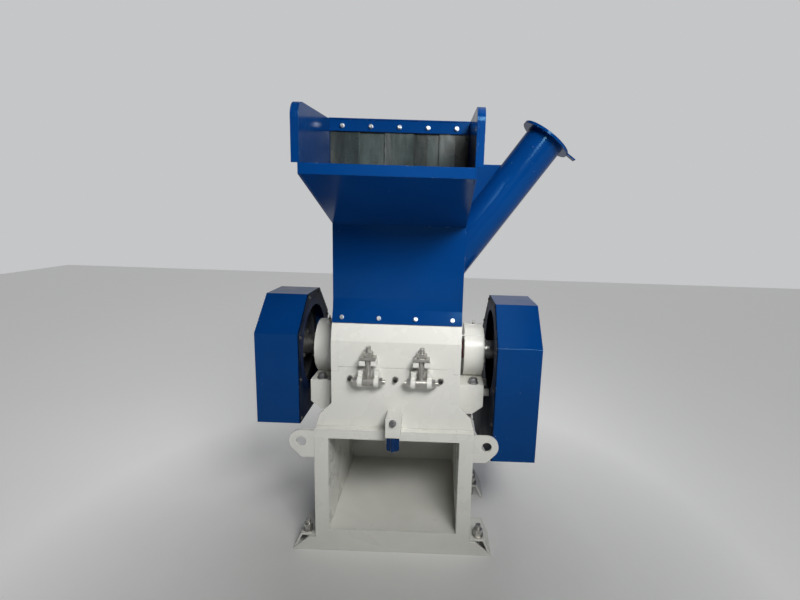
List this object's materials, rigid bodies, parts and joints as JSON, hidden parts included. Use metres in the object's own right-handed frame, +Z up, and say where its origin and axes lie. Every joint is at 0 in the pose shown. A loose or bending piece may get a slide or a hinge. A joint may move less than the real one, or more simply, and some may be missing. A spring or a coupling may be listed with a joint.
{
  "type": "plastic scrap grinder",
  "caption": "Free-standing plastic scrap grinder with a welded base and bin bay, split cutting chamber, belt-driven rotor, guards, tray hopper and slanted feed tube.",
  "frame": {"origin": "on the floor, on the centre line, in the front plane of the base", "axes": "+X to the right along the rotor, +Y to the back, +Z up"},
  "size_m": [1.2094, 1.286, 1.7266],
  "materials": {
    "white_paint": "gloss",
    "blue_paint": "high gloss",
    "zinc_steel": "zinc plated",
    "bright_steel": "turned",
    "tool_steel": "ground",
    "cast_iron": "painted dark",
    "curtain_rubber": "smooth",
    "grip_plastic": "moulded",
    "belt_rubber": "matte",
    "motor_paint": "satin"
  },
  "bodies": {
    "base": {"base_back_wall": "white_paint", "base_floor": "white_paint", "base_front_frame": "white_paint", "base_left_wall": "white_paint", "base_right_wall": "white_paint", "base_top_plate": "white_paint", "bay_side_liners": "white_paint", "bed_knives": "tool_steel", "clamp_ears": "white_paint", "clamp_keepers": "white_paint", "clamp_pins": "zinc_steel", "curtain_bar": "blue_paint", "curtain_strips": "curtain_rubber", "drive_belts": "belt_rubber", "feed_tube": "blue_paint", "feed_tube_flange": "blue_paint", "feed_tube_web": "blue_paint", "foot_bolts": "zinc_steel", "foot_pads": "white_paint", "guard_spacers": "white_paint", "hopper_back_wall": "blue_paint", "hopper_cover": "blue_paint", "hopper_left_wall": "blue_paint", "hopper_neck_front": "blue_paint", "hopper_right_wall": "blue_paint", "hopper_rims": "blue_paint", "hopper_tray": "blue_paint", "left_bearing_housing": "white_paint", "left_bearing_pedestal": "white_paint", "left_guard_inner_plate": "blue_paint", "left_guard_shell": "blue_paint", "left_lifting_lug": "white_paint", "lower_housing_back": "white_paint", "lower_housing_front": "white_paint", "lower_housing_left": "white_paint", "lower_housing_right": "white_paint", "motor": "motor_paint", "motor_pulley": "cast_iron", "motor_stand": "white_paint", "right_bearing_housing": "white_paint", "right_bearing_pedestal": "white_paint", "right_guard_inner_plate": "blue_paint", "right_guard_shell": "blue_paint", "right_lifting_lug": "white_paint", "screen": "bright_steel", "screen_clamp_bracket": "white_paint", "upper_housing_back": "white_paint", "upper_housing_front": "white_paint", "upper_housing_left": "white_paint", "upper_housing_right": "white_paint"},
    "rotor": {"rotor_shaft": "bright_steel", "rotor_core": "tool_steel", "rotor_knives": "tool_steel", "flywheel": "cast_iron", "drive_pulley": "cast_iron"},
    "left_bolt": {"left_swing_bolt": "zinc_steel"},
    "right_bolt": {"right_swing_bolt": "zinc_steel"},
    "grip": {"screen_clamp_grip": "grip_plastic"}
  },
  "joints": [
    {"name": "rotor_spin", "type": "hinge", "parent": "base", "child": "rotor", "pos_m": [0, 0.26, 0.795], "axis": [1, 0, 0], "continuous": true},
    {"name": "left_bolt_swing", "type": "hinge", "parent": "base", "child": "left_bolt", "pos_m": [-0.101, 0.002, 0.731], "axis": [1, 0, 0], "range_deg": [0, 110]},
    {"name": "right_bolt_swing", "type": "hinge", "parent": "base", "child": "right_bolt", "pos_m": [0.101, 0.002, 0.731], "axis": [1, 0, 0], "range_deg": [0, 110]},
    {"name": "grip_turn", "type": "hinge", "parent": "base", "child": "grip", "pos_m": [0, -0.03, 0.5], "axis": [0, 0, 1], "continuous": true}
  ]
}
